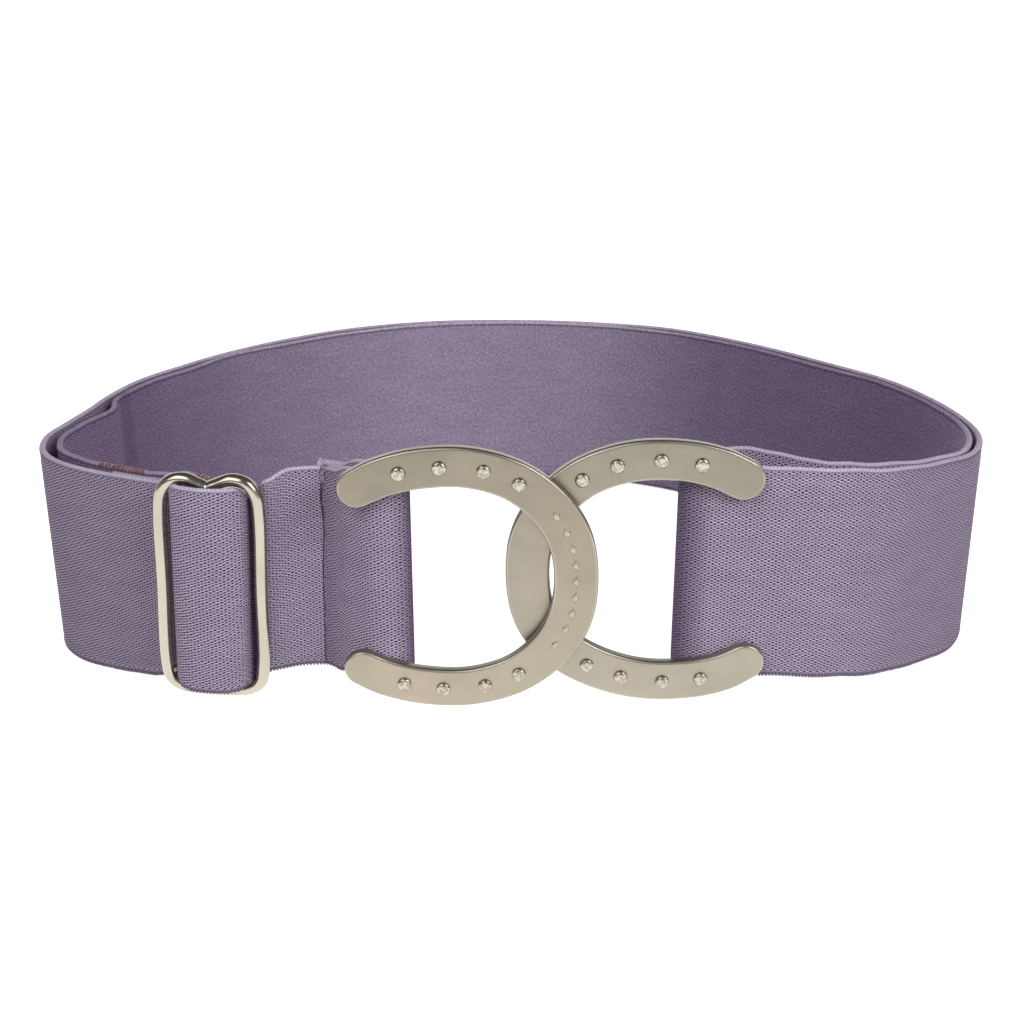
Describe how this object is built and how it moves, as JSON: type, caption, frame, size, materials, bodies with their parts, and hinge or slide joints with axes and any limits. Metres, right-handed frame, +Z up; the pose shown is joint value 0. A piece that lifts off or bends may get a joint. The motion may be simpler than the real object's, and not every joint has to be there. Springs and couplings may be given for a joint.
{
  "type": "elastic belt",
  "caption": "Lilac elastic waist belt standing on its edge in a closed loop, with interlocked metal horseshoe plates as the buckle and a wire slider that sets its length.",
  "frame": {"origin": "on the surface that the belt stands on, below the middle of its box", "axes": "+X along the front of the belt towards the end without the slider, +Y from the buckle at the front to the back of the loop, +Z up, across the strap's width"},
  "size_m": [0.221, 0.152, 0.0611],
  "materials": {
    "lilac_elastic": "woven elastic webbing, matte, with a fine staggered weave and rolled edges",
    "satin_nickel_left": "satin nickel plate with brighter rims",
    "satin_nickel_right": "satin nickel plate with brighter rims",
    "polished_wire": "polished nickel-plated wire"
  },
  "bodies": {
    "root": {"strap": "lilac_elastic", "horseshoe_left": "satin_nickel_left", "horseshoe_right": "satin_nickel_right", "slider": "polished_wire"}
  },
  "joints": []
}
